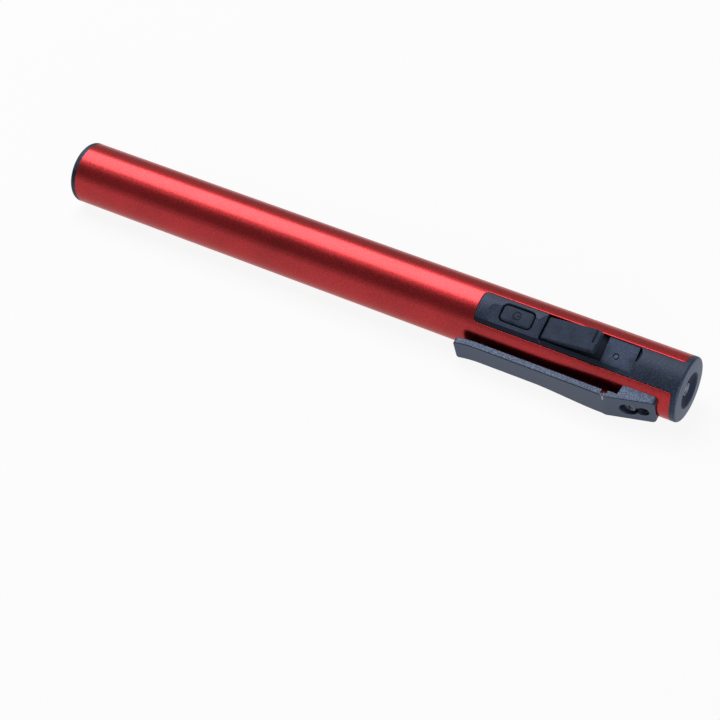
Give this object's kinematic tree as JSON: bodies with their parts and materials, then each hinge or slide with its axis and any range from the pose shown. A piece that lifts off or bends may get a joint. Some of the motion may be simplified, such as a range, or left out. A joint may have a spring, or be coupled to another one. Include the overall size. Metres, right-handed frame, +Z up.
{
  "type": "rechargeable penlight",
  "caption": "Slim round penlight with a slotted metal barrel, a head panel with push button and charging flap, a pocket clip at the head, a lens in the end and a lithium cell inside",
  "frame": {"origin": "Centre of the tail plug's flat end face, on the barrel's axis", "axes": "+X runs along the barrel from the tail to the lamp, +Z is up and +Y is away from the clip, with the light lying on its barrel and its clip"},
  "size_m": [0.1505, 0.0175, 0.0163],
  "materials": {
    "red_anodised": "satin red anodised, fine grain",
    "black_plastic": "matte blue-black, fine spark texture",
    "black_rubber": "matte blue-black",
    "clear_lens": "clear moulded",
    "led_phosphor": "matte yellow phosphor",
    "white_board": "white solder mask",
    "green_board": "green solder mask",
    "chip_epoxy": "black moulded epoxy",
    "pale_plastic": "natural moulded",
    "wire_insulation": "red silicone",
    "tray_plastic": "moulded grey-black",
    "socket_steel": "nickel plated",
    "cell_can": "plain can",
    "blue_film": "shrunk film",
    "grey_foam": "foam"
  },
  "bodies": {
    "light": {"barrel_tube": "red_anodised", "head_moulding": "black_plastic", "head_lens": "clear_lens", "emitter_led": "led_phosphor", "led_board": "white_board", "led_leads": "wire_insulation", "carrier_tray": "tray_plastic", "driver_board": "green_board", "driver_chips": "chip_epoxy", "charge_socket": "socket_steel", "socket_insulator": "chip_epoxy", "switch_body": "chip_epoxy", "indicator_led": "pale_plastic", "indicator_light_pipe": "clear_lens", "battery_cell": "cell_can", "cell_sleeve": "blue_film", "cell_tabs": "socket_steel", "protection_board": "green_board", "battery_leads": "wire_insulation", "cell_foam": "grey_foam", "tail_cap": "black_plastic", "tail_o_ring": "black_rubber", "clip_foot": "black_plastic", "clip_screw": "socket_steel", "flap_anchor": "black_rubber"},
    "button": {"power_button": "black_rubber"},
    "plunger": {"switch_plunger": "pale_plastic"},
    "flap": {"port_flap": "black_rubber"},
    "clip": {"clip_arm": "black_plastic"}
  },
  "joints": [
    {"name": "button_press", "type": "slide", "parent": "light", "child": "button", "axis": [0, 0.4986, -0.8669], "range_m": [0, 0.00035], "stiffness_N_per_m": 600, "springref_m": -0.0008},
    {"name": "plunger_press", "type": "slide", "parent": "light", "child": "plunger", "axis": [0, 0.4986, -0.8669], "range_m": [0, 0.00035]},
    {"name": "flap_hinge", "type": "hinge", "parent": "light", "child": "flap", "pos_m": [0.12003, -0.00293, 0.00509], "axis": [0, -0.8669, -0.4986], "range_deg": [-14, 96]},
    {"name": "clip_flex", "type": "hinge", "parent": "light", "child": "clip", "pos_m": [0.1361, -0.00892, -0.00341], "axis": [0, -0.3568, 0.9342], "range_deg": [0, 8], "stiffness_Nm_per_rad": 2}
  ],
  "couplings": [
    {"joint": "plunger_press", "follows": "button_press", "ratio": 1}
  ]
}
